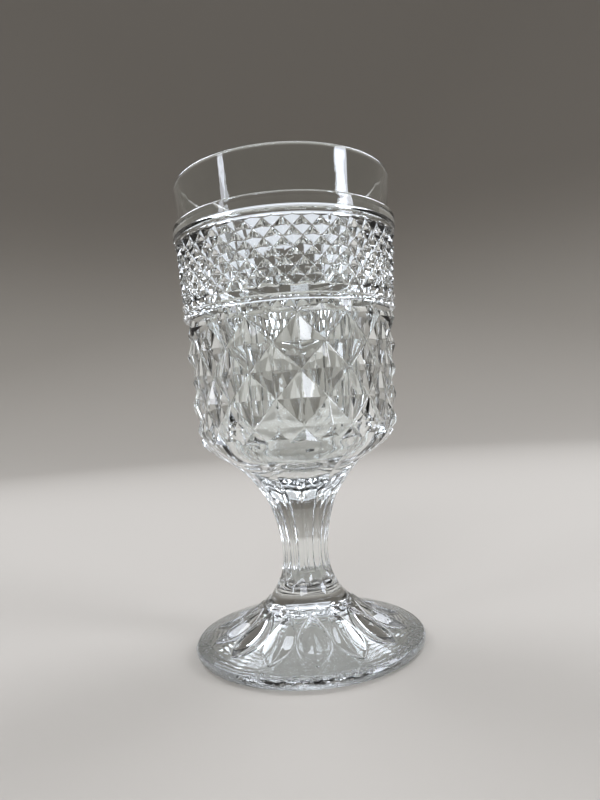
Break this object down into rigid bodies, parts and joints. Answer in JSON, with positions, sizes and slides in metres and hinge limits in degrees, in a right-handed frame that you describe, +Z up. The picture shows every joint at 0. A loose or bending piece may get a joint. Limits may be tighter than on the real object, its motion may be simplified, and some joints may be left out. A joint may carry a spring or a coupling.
{
  "type": "water goblet",
  "caption": "Stemmed water goblet of clear pressed glass, with a plain lip over turned rings, bands of diamond points, a fluted calyx and waisted stem, and a round foot with pressed petals.",
  "frame": {"origin": "centre of the circle that the foot rests on, on the table", "axes": "+Z up along the axis of the goblet from the table to the lip; -Y towards the viewer of the picture; +X to the viewer's right"},
  "size_m": [0.083, 0.083, 0.1678],
  "materials": {
    "clear_glass": "fire-polished, smooth and clear"
  },
  "bodies": {
    "root": {"bowl": "clear_glass", "stem": "clear_glass", "foot": "clear_glass"}
  },
  "joints": []
}
